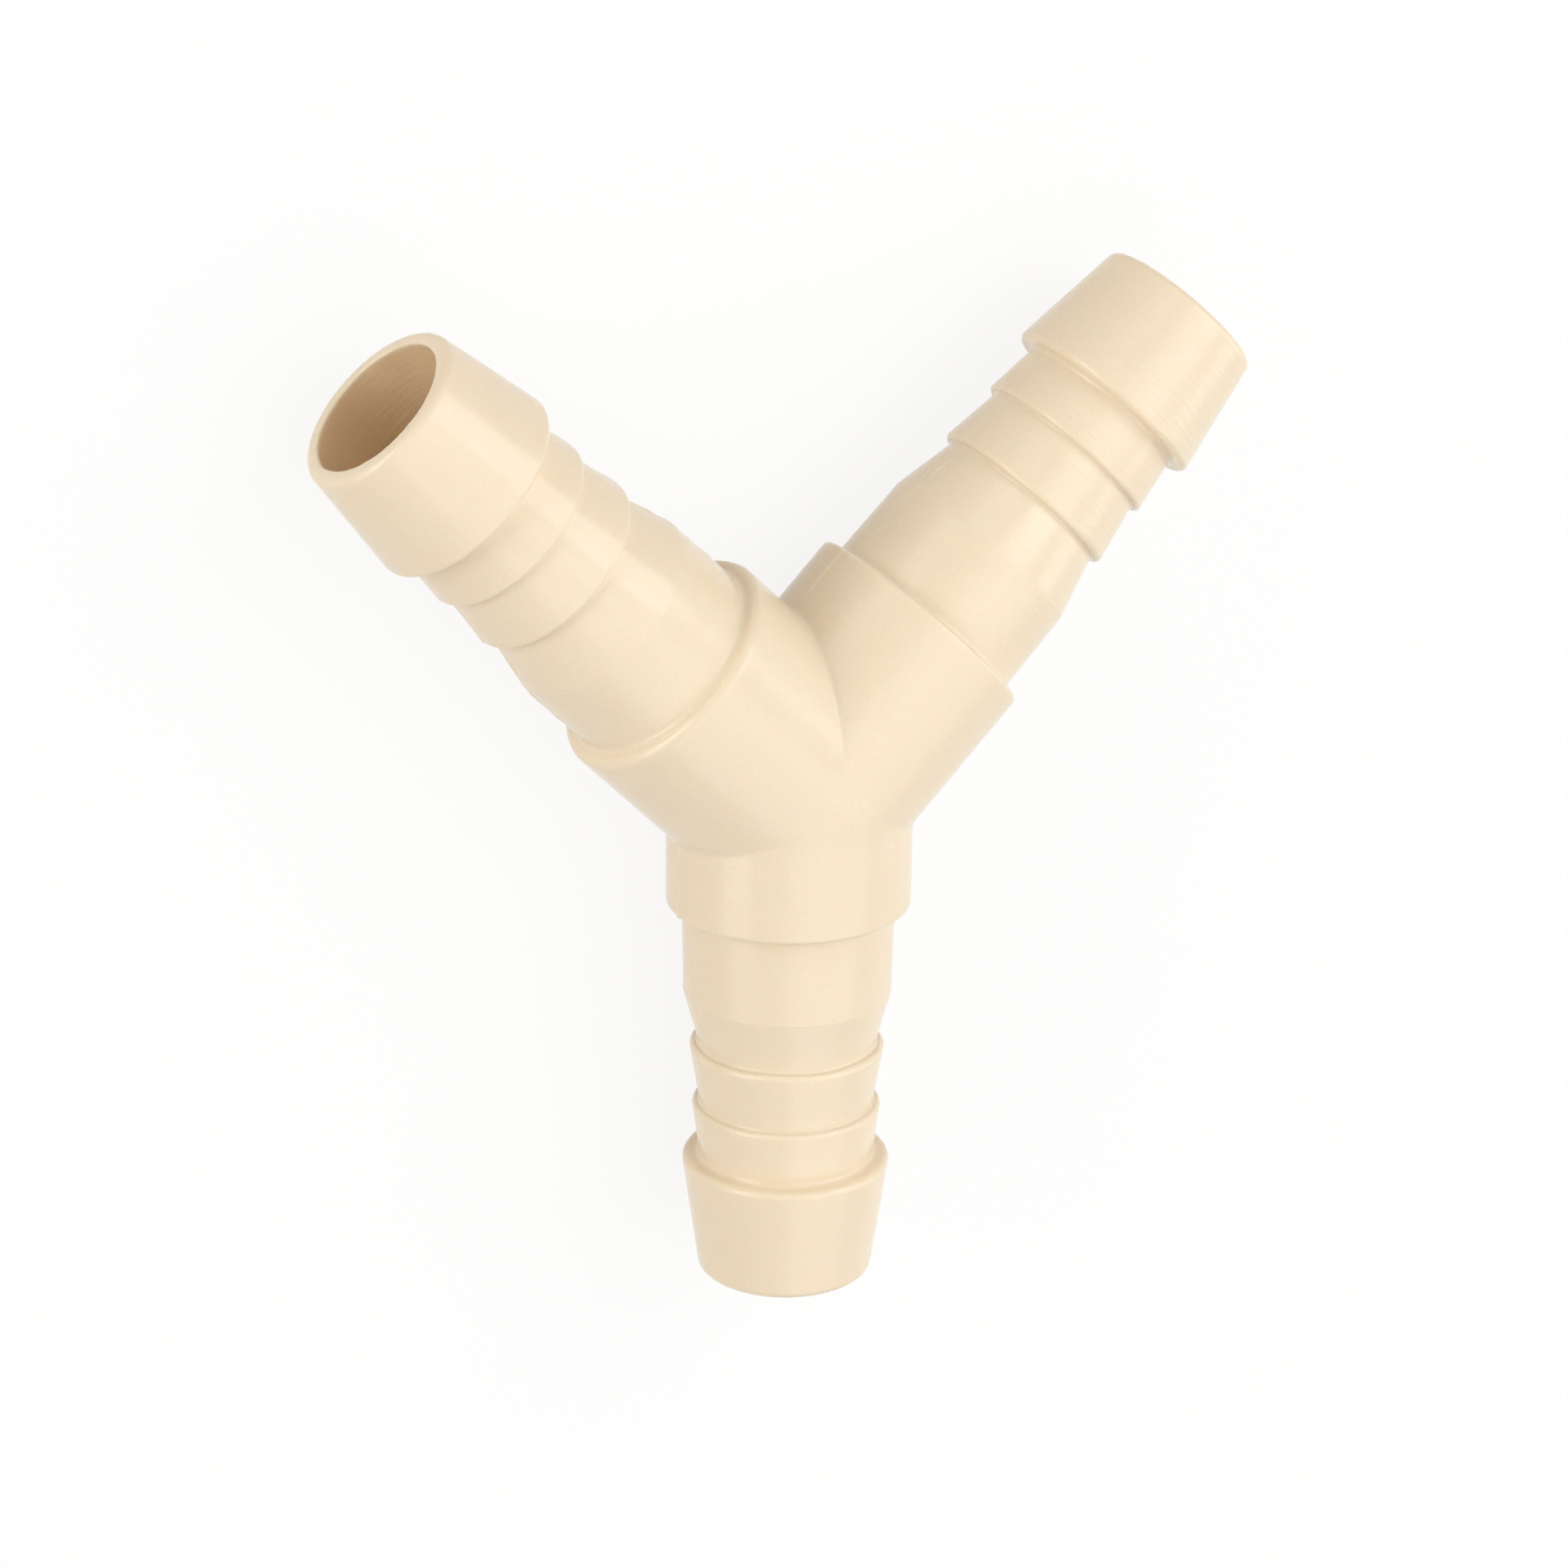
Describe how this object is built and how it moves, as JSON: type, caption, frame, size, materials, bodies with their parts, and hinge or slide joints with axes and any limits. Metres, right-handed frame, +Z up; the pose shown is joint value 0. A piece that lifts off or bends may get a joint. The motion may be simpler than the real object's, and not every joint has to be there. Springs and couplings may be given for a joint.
{
  "type": "tubing y connector",
  "caption": "Rigid plastic Y-shaped hose connector with barbed spigots on collars and bores that meet in the middle.",
  "frame": {"origin": "on the floor under the middle of the fitting's outline, as it lies flat", "axes": "+Z up, square to the plane of the three axes; the stem points along -Y and the two arms lean 45 degrees either side of +Y; the YZ plane is a plane of symmetry"},
  "size_m": [0.0976, 0.1016, 0.0249],
  "materials": {
    "polypropylene": "injection-moulded, satin, cream"
  },
  "bodies": {
    "root": {"y_connector": "polypropylene"}
  },
  "joints": []
}
